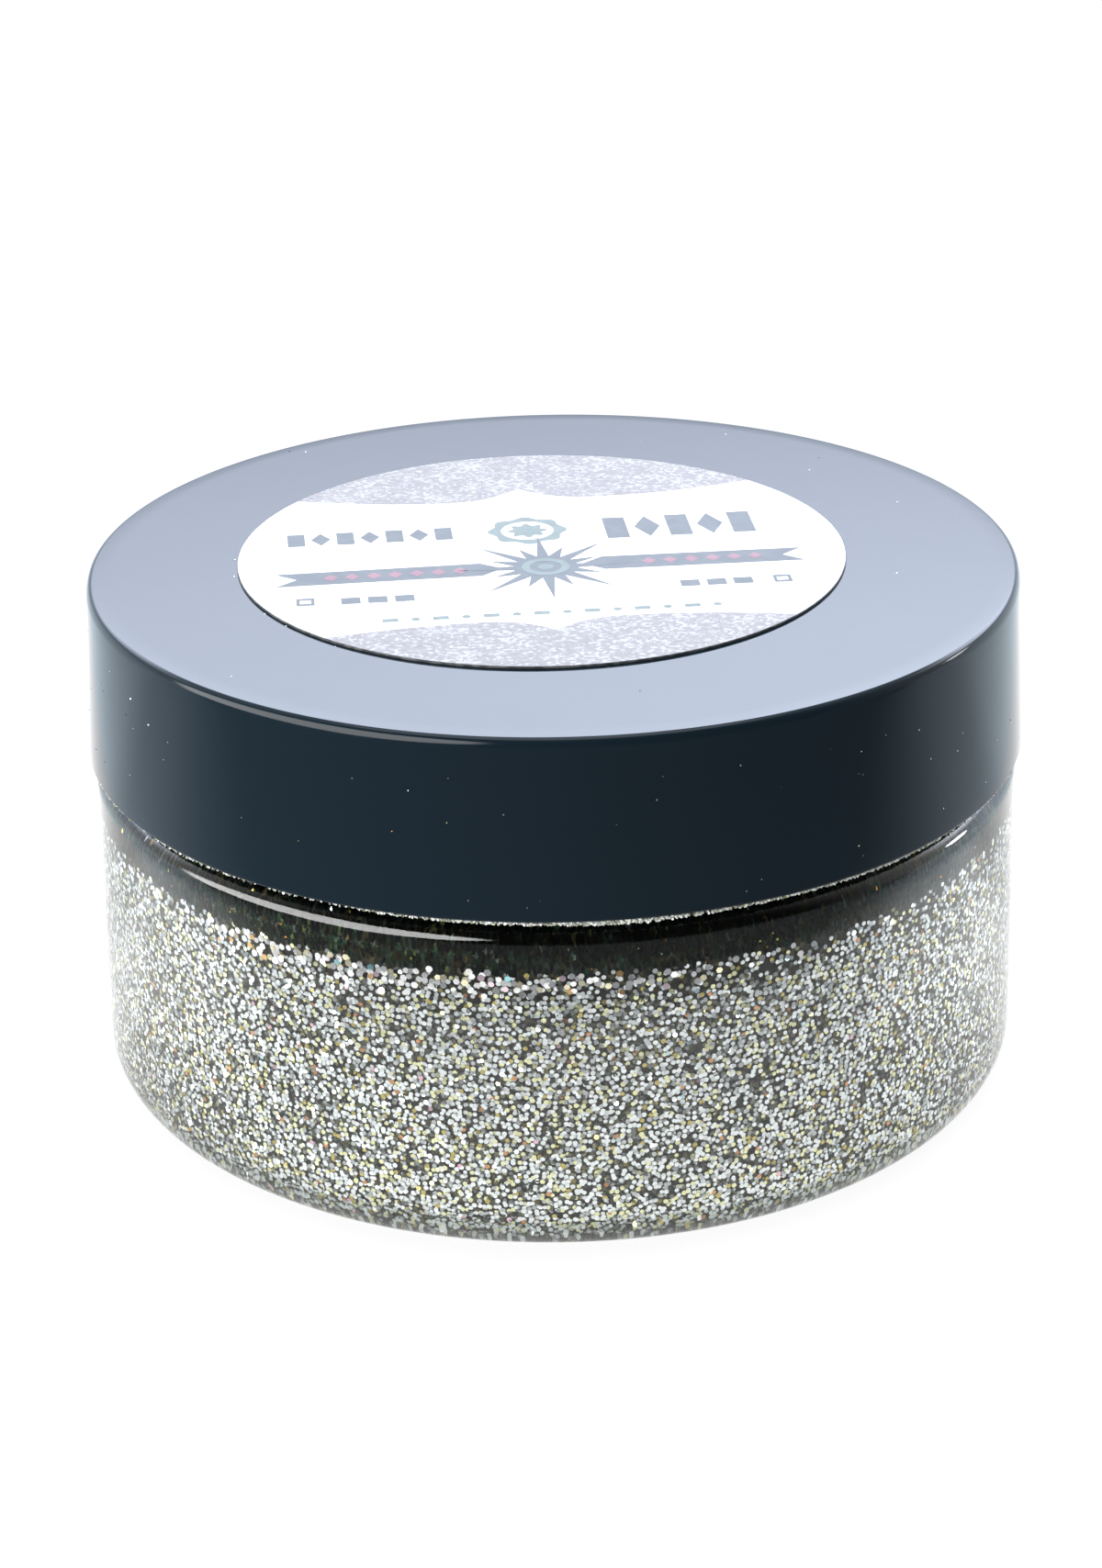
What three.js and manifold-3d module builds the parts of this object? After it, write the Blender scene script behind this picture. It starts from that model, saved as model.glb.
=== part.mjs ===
// Low cosmetic jar with a screw lid: clear jar, glitter gel fill, threaded lid, foam liner, round label.
// Millimetres, +Z up. The origin is the centre of the jar's standing ring on the table.
import * as THREE from "three";
import Module from "manifold-3d";

const wasm = await Module();
wasm.setup();

// ---- driving dimensions ----

// round resolution, shared so that neighbouring walls have matching facets
const SEGMENTS = 60;
const STEP = (2 * Math.PI) / SEGMENTS;

// closed jar
const TOTAL_HEIGHT = 33.6;

// jar body, slightly wider at the heel than at the shoulder
const SHOULDER_BODY_RADIUS = 29.9;
const HEEL_BODY_RADIUS = 30.2;
const WALL = 1.1;
const BASE_THICKNESS = 1.2;
const PUSH_UP = 0.9;
const GATE_RADIUS = 1.3;
const GATE_HEIGHT = 0.35;
const STANDING_RING_WIDTH = 1.6;
const HEEL_RADIUS = 3.4;
const SHOULDER_RADIUS = 2.6;
const ARC_STEPS = 5;

// neck finish, 58 mm with a single-start continuous thread
const NECK_RADIUS = 27.05;
const BORE_RADIUS = 25.5;
const SHOULDER_Z = 21.9;
const RIM_Z = 31.4;
const RIM_ROUND = 0.35;
const PITCH = 4.233;
const JAR_THREAD_CREST = 28.3;
const JAR_THREAD_BASE_WIDTH = 2.4;
const JAR_THREAD_CREST_WIDTH = 1.0;
const JAR_THREAD_START_Z = 24.15;
const JAR_THREAD_STEPS = 66;

// lid
const LID_HEIGHT = 11.2;
const LID_BOTTOM_RADIUS = 30.25;
const LID_TOP_RADIUS = 29.7;
const LID_EDGE_RADIUS = 0.9;
const LID_TOP_THICKNESS = 1.3;
const LID_INNER_RADIUS = 28.65;
const LID_LIP_CHAMFER = 0.3;
const LID_THREAD_CREST = 27.45;
const LID_THREAD_BASE_WIDTH = 1.9;
const LID_THREAD_CREST_WIDTH = 0.8;
const LID_THREAD_BELOW_JAR_THREAD = 1.6;
const LID_THREAD_FIRST_STEP = 18;
const LID_THREAD_STEPS = 60;

// thread run-out at both ends and the part of each thread sunk into its wall
const THREAD_FADE_STEPS = 5;
const THREAD_END_FRACTION = 0.3;
const THREAD_SUNK = 0.6;

// liner, gel and label
const LINER_RADIUS = 28.2;
const SEAL_GAP = 0.05;
const GEL_GAP = 0.1;
const GEL_TOP_Z = 25.3;
const GEL_MENISCUS = 0.3;
const GEL_DIMPLE = 0.4;
const LABEL_RADIUS = 19.45;
const LABEL_THICKNESS = 0.15;
const LABEL_GLUE = 0.02;
const LABEL_OFFSET_X = -0.7;
const LABEL_OFFSET_Y = 0.25;

// ---- derived levels ----

const LID_BOTTOM_Z = TOTAL_HEIGHT - LID_HEIGHT;
const LID_UNDERSIDE_Z = TOTAL_HEIGHT - LID_TOP_THICKNESS;
const HEEL_CENTRE_R = HEEL_BODY_RADIUS - HEEL_RADIUS;
const SHOULDER_CENTRE_R = SHOULDER_BODY_RADIUS - SHOULDER_RADIUS;
const SHOULDER_CENTRE_Z = SHOULDER_Z - SHOULDER_RADIUS;

// ---- materials ----

const clearPet = new THREE.MeshStandardMaterial({
  name: "clear_pet",
  color: 0xdfe3dd,
  roughness: 0.06,
  metalness: 0,
  transparent: true,
  opacity: 0.25,
});
const glitterGel = new THREE.MeshStandardMaterial({
  name: "glitter_gel",
  color: 0xb9bbb2,
  roughness: 0.3,
  metalness: 0.4,
});
const blackPolypropylene = new THREE.MeshStandardMaterial({
  name: "black_polypropylene",
  color: 0x10161b,
  roughness: 0.14,
  metalness: 0,
});
const whiteFoam = new THREE.MeshStandardMaterial({
  name: "white_foam",
  color: 0xf0f0ec,
  roughness: 0.8,
  metalness: 0,
});
const labelPaper = new THREE.MeshStandardMaterial({
  name: "label_paper",
  color: 0xf4f4f2,
  roughness: 0.5,
  metalness: 0,
});

// ---- shared builders ----

// points of an arc in the radius-height plane, angles in degrees from the outward direction
function arc(centreR, centreZ, radiusR, radiusZ, fromDeg, toDeg, steps = ARC_STEPS) {
  const points = [];
  for (let i = 0; i <= steps; i += 1) {
    const angle = THREE.MathUtils.degToRad(fromDeg + ((toDeg - fromDeg) * i) / steps);
    points.push([centreR + radiusR * Math.cos(angle), centreZ + radiusZ * Math.sin(angle)]);
  }
  return points;
}

// solid of revolution about +Z from [radius, height] points
function turned(points) {
  const profile = points.map(([r, z]) => new THREE.Vector2(r, z));
  const geometry = new THREE.LatheGeometry(profile, SEGMENTS);
  geometry.rotateX(Math.PI / 2);
  return geometry;
}

function toManifold(geometry) {
  const position = geometry.attributes.position;
  const index = geometry.index ? geometry.index.array : null;
  const count = index ? index.length : position.count;
  const ids = new Map();
  const vertices = [];
  const corners = [];
  for (let i = 0; i < count; i += 1) {
    const at = index ? index[i] : i;
    const point = [position.getX(at), position.getY(at), position.getZ(at)];
    const key = point.map((value) => Math.round(value * 1e4)).join(" ");
    if (!ids.has(key)) {
      ids.set(key, ids.size);
      vertices.push(...point);
    }
    corners.push(ids.get(key));
  }
  const triangles = [];
  for (let i = 0; i < corners.length; i += 3) {
    const [a, b, c] = corners.slice(i, i + 3);
    if (a !== b && b !== c && c !== a) {
      triangles.push(a, b, c);
    }
  }
  return new wasm.Manifold(
    new wasm.Mesh({
      numProp: 3,
      vertProperties: new Float32Array(vertices),
      triVerts: new Uint32Array(triangles),
    }),
  );
}

function fromManifold(solid) {
  const mesh = solid.getMesh();
  const geometry = new THREE.BufferGeometry();
  geometry.setAttribute("position", new THREE.BufferAttribute(mesh.vertProperties, 3));
  geometry.setIndex(new THREE.BufferAttribute(mesh.triVerts, 1));
  geometry.computeVertexNormals();
  return geometry;
}

// share of the full thread height at one step of the helix
function threadHeightShare(step, steps) {
  const fromEnd = Math.min(step, steps - step) / THREAD_FADE_STEPS;
  const share = THREE.MathUtils.smoothstep(fromEnd, 0, 1);
  return THREAD_END_FRACTION + (1 - THREAD_END_FRACTION) * share;
}

// right-hand helical rib with a trapezoid section, standing on a wall at wallRadius
function thread({ wallRadius, crestRadius, baseWidth, crestWidth, startZ, firstStep, steps }) {
  const outward = Math.sign(crestRadius - wallRadius);
  const height = Math.abs(crestRadius - wallRadius) + THREAD_SUNK;
  const section = new THREE.Shape([
    new THREE.Vector2(-baseWidth / 2, 0),
    new THREE.Vector2(baseWidth / 2, 0),
    new THREE.Vector2(crestWidth / 2, height),
    new THREE.Vector2(-crestWidth / 2, height),
  ]);
  const geometry = new THREE.ExtrudeGeometry(section, { depth: steps, steps, bevelEnabled: false });
  const position = geometry.attributes.position;
  for (let i = 0; i < position.count; i += 1) {
    const step = Math.round(position.getZ(i));
    const share = threadHeightShare(step, steps);
    const radius = wallRadius + outward * (position.getY(i) * share - THREAD_SUNK);
    const angle = (firstStep + step) * STEP;
    const rise = (PITCH * (firstStep + step)) / SEGMENTS;
    const z = startZ + rise + position.getX(i);
    position.setXYZ(i, radius * Math.cos(angle), radius * Math.sin(angle), z);
  }
  const solid = toManifold(geometry);
  return solid.volume() > 0 ? solid : toManifold(flipped(geometry));
}

// the same surface with every triangle turned the other way
function flipped(geometry) {
  const plain = geometry.index ? geometry.toNonIndexed() : geometry.clone();
  const position = plain.attributes.position;
  for (let i = 0; i < position.count; i += 3) {
    const second = new THREE.Vector3().fromBufferAttribute(position, i + 1);
    const third = new THREE.Vector3().fromBufferAttribute(position, i + 2);
    position.setXYZ(i + 1, third.x, third.y, third.z);
    position.setXYZ(i + 2, second.x, second.y, second.z);
  }
  return plain;
}

function part(name, geometry, material) {
  const mesh = new THREE.Mesh(geometry, material);
  mesh.name = name;
  return mesh;
}

// ---- sub-parts ----

// inside surface of the jar from the centre of the base up to the bore, grown inward by gap
function innerProfile(gap) {
  const floor = BASE_THICKNESS + gap;
  const heelRadius = HEEL_RADIUS - WALL;
  const heelCentreR = HEEL_CENTRE_R - gap;
  const shoulderRadius = SHOULDER_RADIUS - WALL - gap;
  return [
    [0, floor + PUSH_UP],
    [12, floor + PUSH_UP * 0.9],
    [20, floor + PUSH_UP * 0.5],
    [HEEL_CENTRE_R - STANDING_RING_WIDTH, floor],
    ...arc(heelCentreR, floor + heelRadius, heelRadius, heelRadius, -90, 0),
    ...arc(SHOULDER_CENTRE_R, SHOULDER_CENTRE_Z, shoulderRadius, shoulderRadius, 0, 90),
  ];
}

function jar() {
  const outside = [
    [0, PUSH_UP - GATE_HEIGHT],
    [GATE_RADIUS, PUSH_UP - GATE_HEIGHT],
    [GATE_RADIUS + 0.2, PUSH_UP],
    [12, PUSH_UP * 0.9],
    [20, PUSH_UP * 0.5],
    [HEEL_CENTRE_R - STANDING_RING_WIDTH, 0],
    ...arc(HEEL_CENTRE_R, HEEL_RADIUS, HEEL_RADIUS, HEEL_RADIUS, -90, 0),
    ...arc(SHOULDER_CENTRE_R, SHOULDER_CENTRE_Z, SHOULDER_RADIUS, SHOULDER_RADIUS, 0, 90),
    [NECK_RADIUS, RIM_Z - RIM_ROUND],
    [NECK_RADIUS - RIM_ROUND, RIM_Z],
    [BORE_RADIUS + RIM_ROUND, RIM_Z],
    [BORE_RADIUS, RIM_Z - RIM_ROUND],
    [BORE_RADIUS, SHOULDER_Z + 0.4],
  ];
  const inside = innerProfile(0).reverse();
  const shell = toManifold(turned([...outside, ...inside]));
  const rib = thread({
    wallRadius: NECK_RADIUS,
    crestRadius: JAR_THREAD_CREST,
    baseWidth: JAR_THREAD_BASE_WIDTH,
    crestWidth: JAR_THREAD_CREST_WIDTH,
    startZ: JAR_THREAD_START_Z,
    firstStep: 0,
    steps: JAR_THREAD_STEPS,
  });
  return part("jar", fromManifold(shell.add(rib)), clearPet);
}

function gel() {
  const neckRadius = BORE_RADIUS - GEL_GAP;
  const profile = [
    ...innerProfile(GEL_GAP),
    [neckRadius, SHOULDER_Z + 0.4],
    [neckRadius, GEL_TOP_Z + GEL_MENISCUS],
    [neckRadius - 1.2, GEL_TOP_Z],
    [neckRadius / 2, GEL_TOP_Z - GEL_DIMPLE / 2],
    [0, GEL_TOP_Z - GEL_DIMPLE],
  ];
  return part("glitter_gel", turned(profile), glitterGel);
}

function lid() {
  const edgeR = LID_TOP_RADIUS - LID_EDGE_RADIUS;
  const edgeZ = TOTAL_HEIGHT - LID_EDGE_RADIUS;
  const profile = [
    [0, LID_UNDERSIDE_Z],
    [LID_INNER_RADIUS, LID_UNDERSIDE_Z],
    [LID_INNER_RADIUS, LID_BOTTOM_Z + LID_LIP_CHAMFER],
    [LID_INNER_RADIUS + LID_LIP_CHAMFER, LID_BOTTOM_Z],
    [LID_BOTTOM_RADIUS - LID_LIP_CHAMFER / 2, LID_BOTTOM_Z],
    [LID_BOTTOM_RADIUS, LID_BOTTOM_Z + LID_LIP_CHAMFER / 2],
    ...arc(edgeR, edgeZ, LID_EDGE_RADIUS, LID_EDGE_RADIUS, 0, 90),
    [0, TOTAL_HEIGHT],
  ];
  const shell = toManifold(turned(profile));
  const rib = thread({
    wallRadius: LID_INNER_RADIUS,
    crestRadius: LID_THREAD_CREST,
    baseWidth: LID_THREAD_BASE_WIDTH,
    crestWidth: LID_THREAD_CREST_WIDTH,
    startZ: JAR_THREAD_START_Z - LID_THREAD_BELOW_JAR_THREAD,
    firstStep: LID_THREAD_FIRST_STEP,
    steps: LID_THREAD_STEPS,
  });
  return part("lid", fromManifold(shell.add(rib)), blackPolypropylene);
}

function liner() {
  const bottom = RIM_Z + SEAL_GAP;
  const top = LID_UNDERSIDE_Z - SEAL_GAP;
  const profile = [
    [0, bottom],
    [LINER_RADIUS, bottom],
    [LINER_RADIUS, top],
    [0, top],
  ];
  return part("lid_liner", turned(profile), whiteFoam);
}

function label() {
  const bottom = TOTAL_HEIGHT + LABEL_GLUE;
  const top = bottom + LABEL_THICKNESS;
  const profile = [
    [0, bottom],
    [LABEL_RADIUS, bottom],
    [LABEL_RADIUS, top],
    [0, top],
  ];
  const geometry = turned(profile);
  geometry.translate(LABEL_OFFSET_X, LABEL_OFFSET_Y, 0);
  return part("lid_label", geometry, labelPaper);
}

const assembly = new THREE.Group();
assembly.name = "glitter_gel_jar";
assembly.add(jar(), gel(), lid(), liner(), label());

export default assembly;
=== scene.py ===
import math

import bpy
import numpy as np
from mathutils import Matrix, Vector


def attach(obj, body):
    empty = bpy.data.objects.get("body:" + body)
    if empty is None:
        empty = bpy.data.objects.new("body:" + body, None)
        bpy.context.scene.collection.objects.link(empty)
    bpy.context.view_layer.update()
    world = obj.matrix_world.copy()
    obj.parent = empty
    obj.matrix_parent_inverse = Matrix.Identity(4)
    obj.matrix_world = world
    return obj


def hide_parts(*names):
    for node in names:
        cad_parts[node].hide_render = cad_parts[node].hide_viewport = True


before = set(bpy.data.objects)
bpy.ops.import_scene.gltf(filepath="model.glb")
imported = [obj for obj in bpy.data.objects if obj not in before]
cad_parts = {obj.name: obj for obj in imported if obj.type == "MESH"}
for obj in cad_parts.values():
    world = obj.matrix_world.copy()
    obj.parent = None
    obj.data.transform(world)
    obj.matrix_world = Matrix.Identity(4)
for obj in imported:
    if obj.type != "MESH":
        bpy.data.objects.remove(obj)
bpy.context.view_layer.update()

MM = 0.001

# ---- sizes in millimetres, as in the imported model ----

TOTAL_HEIGHT = 33.6
LID_BOTTOM = 22.4
LID_BOTTOM_RADIUS = 30.25
LID_TOP_RADIUS = 29.7
LID_UNDERSIDE = 32.3
LID_INNER_RADIUS = 28.65
LID_THREAD_CREST = 27.45
SHOULDER_BODY_RADIUS = 29.9
HEEL_BODY_RADIUS = 30.2
WALL = 1.1
PUSH_UP = 0.9
GATE_RADIUS = 1.3
GATE_DEPTH = 0.35
HEEL = 3.4
SHOULDER = 2.6
NECK_RADIUS = 27.05
BORE_RADIUS = 25.5
SHOULDER_Z = 21.9
RIM_Z = 31.4
PITCH = 4.233
JAR_THREAD_CREST = 28.3
THREAD_START_Z = 24.15
THREAD_TURNS = 1.1
LID_THREAD_DROP = 1.6
LID_THREAD_FROM = 0.3
LID_THREAD_TURNS = 1.0
THREAD_RUN_IN = 0.09
GEL_TOP = 25.3
LINER_RADIUS = 28.2
LABEL_RADIUS = 19.45
LABEL_THICKNESS = 0.15
LABEL_GLUE = 0.02
LABEL_OFFSET = (-0.7, 0.25)
LABEL_TURN = math.radians(5.5)
LABEL_TOP = TOTAL_HEIGHT + LABEL_GLUE + LABEL_THICKNESS

HEEL_CENTRE_R = HEEL_BODY_RADIUS - HEEL
SHOULDER_CENTRE_R = SHOULDER_BODY_RADIUS - SHOULDER
SHOULDER_CENTRE_Z = SHOULDER_Z - SHOULDER

# ---- sizes of the looks alone, in millimetres, with a few shares and counts ----

BASE_THICKNESS = 0.8
FROST_HEIGHT = 0.5
LID_EDGE = 0.35
LID_EDGE_SLOPE = 0.5
LID_EDGE_SIDE = 1.2
LID_EDGE_LEAN = math.radians(26)
GLITTER_LOW_CUT = 6.5
GLITTER_DEEP_CUT = 9.5
GLITTER_HIGH_CUT = 14.5
SHADE_Z = 18.6
FLAKE_RADIUS = 0.163
FLAKE_BACK = 0.03
SPARK_RADIUS = 0.22
SHADE_FLAKE_RADIUS = 0.13
SHADE_FLAKE_STRETCH = 2.1
SPECK_RADIUS = 0.08
SPECK_SHARE = 0.055
CORE_INSET = 0.42
DUST_RADIUS = 0.09
STRAY_RADIUS = 0.04
STRAY_TOP_RADIUS = 0.045
STRAYS_ON_SIDE = 120
STRAYS_ON_TOP = 26
PRINT_ROOT = 0.03
# width of the label's rim painted dark: partly dirt, partly painted shade
EDGE_DIRT_AND_SHADE_WIDTH = 0.06
ZONE_REACH = 0.9975

# ---- how finely surfaces are cut: segments round the axis, fillet steps, thread rows ----

ROUND = 256
ROUND_THIN = 192
ROUND_CORE = 128
FILLET_STEP = math.radians(7)
THREAD_STEP = 0.16

# ---- optics and light ----

PET_IOR = 1.575
PET_ON_GEL_IOR = 1.06
LID_IOR = 1.28
PAPER_IOR = 1.25
WHITE_SEEN = 1.05
FLOOR_SEEN = 0.93
OVERHEAD_STRENGTH = 2.4
LONG_LIGHT_STRENGTH = 8.5
SMALL_LIGHT_STRENGTH = 14.0
WHITE = (1.0, 1.0, 1.0, 1.0)


# ---- node helpers ----

class Nodes:
    """Short way to write a node tree."""

    def __init__(self, tree):
        self.tree = tree
        tree.nodes.clear()

    def add(self, kind, inputs=None, **settings):
        """A node of this kind; an input is a constant or another node's socket."""
        node = self.tree.nodes.new(kind)
        for key, value in settings.items():
            setattr(node, key, value)
        for key, value in (inputs or {}).items():
            if isinstance(value, bpy.types.NodeSocket):
                self.tree.links.new(value, node.inputs[key])
            else:
                node.inputs[key].default_value = value
        return node

    def maths(self, operation, a, b=None, c=None):
        """One maths operation on values or sockets."""
        inputs = {i: value for i, value in enumerate((a, b, c)) if value is not None}
        return self.add("ShaderNodeMath", inputs, operation=operation).outputs[0]

    def ease(self, value, low, high, out_low=0.0, out_high=1.0):
        """Smooth step of value between low and high."""
        node = self.add(
            "ShaderNodeMapRange",
            {"Value": value, "From Min": low, "From Max": high, "To Min": out_low, "To Max": out_high},
            interpolation_type="SMOOTHSTEP",
        )
        return node.outputs["Result"]

    def mix(self, factor, a, b):
        """A colour between a and b."""
        node = self.add("ShaderNodeMix", data_type="RGBA")
        for socket, value in ((node.inputs[0], factor), (node.inputs[6], a), (node.inputs[7], b)):
            if isinstance(value, bpy.types.NodeSocket):
                self.tree.links.new(value, socket)
            else:
                socket.default_value = value
        return node.outputs[2]

    def noise(self, vector, scale, detail):
        node = self.add("ShaderNodeTexNoise", {"Vector": vector, "Scale": scale, "Detail": detail})
        return node.outputs["Fac"]

    def bump(self, height, strength, distance):
        node = self.add("ShaderNodeBump", {"Height": height, "Strength": strength, "Distance": distance})
        return node.outputs["Normal"]


def rgb(red, green, blue):
    return (red, green, blue, 1.0)


def principled(name, **values):
    """A material with one Principled shader; values are the shader's own inputs."""
    material = bpy.data.materials.new(name)
    material.use_nodes = True
    nodes = Nodes(material.node_tree)
    inputs = {key.replace("_", " "): value for key, value in values.items()}
    shader = nodes.add("ShaderNodeBsdfPrincipled", inputs)
    nodes.add("ShaderNodeOutputMaterial", {"Surface": shader.outputs[0]})
    return material, nodes, shader


def object_coords(nodes):
    return nodes.add("ShaderNodeTexCoord").outputs["Object"]


# ---- mesh helpers ----

def new_piece(name, verts, faces, body, materials, smooth=True, indices=None):
    """One visible piece that rides on a body; indices pick each face's material."""
    mesh = bpy.data.meshes.new(name)
    mesh.from_pydata([tuple(v) for v in verts], [], faces)
    for material in materials:
        mesh.materials.append(material)
    if indices is not None:
        mesh.polygons.foreach_set("material_index", indices)
    if smooth:
        mesh.polygons.foreach_set("use_smooth", [True] * len(mesh.polygons))
    mesh.update()
    piece = bpy.data.objects.new(name, mesh)
    bpy.context.scene.collection.objects.link(piece)
    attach(piece, body)
    return piece


def rounded(corners):
    """Profile points through corners (r, z, fillet), each corner rounded by its fillet radius."""
    out = []
    for i, (r, z, fillet) in enumerate(corners):
        here = Vector((r, z))
        if fillet <= 0:
            out.append((r, z))
            continue
        before = Vector(corners[i - 1][:2]) - here
        after = Vector(corners[i + 1][:2]) - here
        angle = before.angle(after)
        reach = min(fillet / math.tan(angle / 2), 0.49 * before.length, 0.49 * after.length)
        radius = reach * math.tan(angle / 2)
        inward = (before.normalized() + after.normalized()).normalized()
        centre = here + inward * radius / math.sin(angle / 2)
        start = here + before.normalized() * reach - centre
        sweep = start.angle_signed(here + after.normalized() * reach - centre)
        steps = max(2, round(abs(sweep) / FILLET_STEP))
        for k in range(steps + 1):
            turn = -sweep * k / steps
            r = centre.x + start.x * math.cos(turn) - start.y * math.sin(turn)
            z = centre.y + start.x * math.sin(turn) + start.y * math.cos(turn)
            out.append((r, z))
    return out


def subdivided(profile, longest):
    """The same profile with no step longer than longest."""
    out = [profile[0]]
    for (r0, z0), (r1, z1) in zip(profile, profile[1:]):
        steps = max(1, math.ceil(math.hypot(r1 - r0, z1 - z0) / longest))
        out += [(r0 + (r1 - r0) * k / steps, z0 + (z1 - z0) * k / steps) for k in range(1, steps + 1)]
    return out


def revolve(profile, segments=ROUND, shift=None):
    """Vertices in metres, faces, and each face's profile row, of a solid turned about Z.

    The profile starts and ends on the axis. shift(angle, r, z) moves a point outward, for a thread.
    """
    angles = [2 * math.pi * k / segments for k in range(segments)]
    verts = []
    rings = []
    for r, z in profile:
        if r < 1e-6:
            rings.append([len(verts)])
            verts.append((0.0, 0.0, z * MM))
            continue
        rings.append(list(range(len(verts), len(verts) + segments)))
        for angle in angles:
            radius = (r + (shift(angle, r, z) if shift else 0.0)) * MM
            verts.append((radius * math.cos(angle), radius * math.sin(angle), z * MM))
    faces = []
    row_of_face = []
    for row, (low, high) in enumerate(zip(rings, rings[1:])):
        for k in range(segments):
            n = (k + 1) % segments
            if len(low) == 1:
                faces.append((low[0], high[n], high[k]))
            elif len(high) == 1:
                faces.append((low[k], low[n], high[0]))
            else:
                faces.append((low[k], low[n], high[n], high[k]))
            row_of_face.append(row)
    return verts, faces, row_of_face


def rib_height(angle, z, start_z, first_turn, turns, base_width, crest_width, height):
    """Height of a helical thread rib above its wall at one point; turns are counted from the start."""
    best = 0.0
    turn = angle / (2 * math.pi)
    while turn < first_turn + turns:
        if turn >= first_turn:
            offset = abs(z - (start_z + PITCH * turn))
            run_in = min(turn - first_turn, first_turn + turns - turn) / THREAD_RUN_IN
            share = min(1.0, max(0.0, run_in))
            share = share * share * (3 - 2 * share)
            flank = (base_width / 2 - offset) / ((base_width - crest_width) / 2)
            profile = min(1.0, max(0.0, flank))
            profile = profile * profile * (3 - 2 * profile) * 0.35 + profile * 0.65
            best = max(best, height * share * profile)
        turn += 1.0
    return best


# ---- camera, light and floor ----

CAMERA_DISTANCE = 214.15
CAMERA_ELEVATION = math.radians(20.2465)
CAMERA_YAW = math.radians(-0.0896)
CAMERA_PITCH = math.radians(-3.9131)
CAMERA_ROLL = math.radians(-0.9366)
CAMERA_LENS = 76.60


def make_camera():
    """A camera that looks at the top of the lid's centre, then is turned by its three small angles."""
    away = Vector((0, -math.cos(CAMERA_ELEVATION), math.sin(CAMERA_ELEVATION)))
    forward = -away
    right = Vector((1, 0, 0))
    up = right.cross(forward)
    forward, right = (
        forward * math.cos(CAMERA_YAW) + right * math.sin(CAMERA_YAW),
        right * math.cos(CAMERA_YAW) - forward * math.sin(CAMERA_YAW),
    )
    forward, up = (
        forward * math.cos(CAMERA_PITCH) + up * math.sin(CAMERA_PITCH),
        up * math.cos(CAMERA_PITCH) - forward * math.sin(CAMERA_PITCH),
    )
    right, up = (
        right * math.cos(CAMERA_ROLL) + up * math.sin(CAMERA_ROLL),
        up * math.cos(CAMERA_ROLL) - right * math.sin(CAMERA_ROLL),
    )
    turn = Matrix((right, up, -forward)).transposed().to_4x4()
    place = Matrix.Translation((Vector((0, 0, TOTAL_HEIGHT)) + away * CAMERA_DISTANCE) * MM)
    data = bpy.data.cameras.new("studio_camera")
    data.lens = CAMERA_LENS
    data.clip_start = 0.005
    data.clip_end = 20
    camera = bpy.data.objects.new("studio_camera", data)
    camera.matrix_world = place @ turn
    bpy.context.scene.collection.objects.link(camera)
    bpy.context.scene.camera = camera


def soft_patch(nodes, azimuth, height, centre, rise, reach):
    """Share of an oval light seen from the jar, given its centre, its slope and its half sizes."""
    across = nodes.maths("SUBTRACT", azimuth, centre[0])
    middle = nodes.maths("MULTIPLY_ADD", across, rise, centre[1])
    along_x = nodes.maths("POWER", nodes.maths("DIVIDE", across, reach[0]), 2.0)
    above = nodes.maths("SUBTRACT", height, middle)
    along_z = nodes.maths("POWER", nodes.maths("DIVIDE", above, reach[1]), 2.0)
    return nodes.ease(nodes.maths("ADD", along_x, along_z), 1.0, 0.7)


def make_world():
    """White studio: a bright wall behind, light overhead, a long low light at the front left, a dim front."""
    world = bpy.data.worlds.new("studio")
    world.use_nodes = True
    bpy.context.scene.world = world
    nodes = Nodes(world.node_tree)
    direction = nodes.add("ShaderNodeTexCoord").outputs["Generated"]
    split = nodes.add("ShaderNodeSeparateXYZ", {0: direction})
    x, y, z = split.outputs
    azimuth = nodes.maths("ARCTAN2", x, nodes.maths("MULTIPLY", y, -1.0))
    room = nodes.ease(y, -0.55, 0.35, 0.03, 1.0)
    behind = nodes.ease(y, 0.1, 0.7)
    wall = nodes.maths(
        "MULTIPLY",
        nodes.maths("MULTIPLY", behind, nodes.ease(z, 0.66, 0.56)),
        nodes.ease(z, 0.24, 0.46, 0.55, 6.8),
    )
    wall = nodes.maths("MULTIPLY", wall, nodes.maths("MULTIPLY_ADD", x, 0.5, 1.02))
    overhead = nodes.ease(z, 0.86, 0.93)
    long_light = soft_patch(nodes, azimuth, z, (-1.0, 0.21), 0.17, (0.76, 0.27))
    small_light = soft_patch(nodes, azimuth, z, (1.9, 0.13), 0.0, (0.09, 0.08))
    total = nodes.maths("ADD", room, wall)
    total = nodes.maths("MULTIPLY_ADD", overhead, OVERHEAD_STRENGTH, total)
    total = nodes.maths("MULTIPLY_ADD", long_light, LONG_LIGHT_STRENGTH, total)
    total = nodes.maths("MULTIPLY_ADD", small_light, SMALL_LIGHT_STRENGTH, total)
    tint = nodes.mix(behind, WHITE, rgb(0.90, 0.99, 1.19))
    light = nodes.add("ShaderNodeBackground", {"Color": tint, "Strength": total})
    plain = nodes.add("ShaderNodeBackground", {"Color": WHITE, "Strength": WHITE_SEEN})
    seen = nodes.add("ShaderNodeLightPath").outputs["Is Camera Ray"]
    both = nodes.add("ShaderNodeMixShader", {0: seen, 1: light.outputs[0], 2: plain.outputs[0]})
    nodes.add("ShaderNodeOutputWorld", {"Surface": both.outputs[0]})


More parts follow.
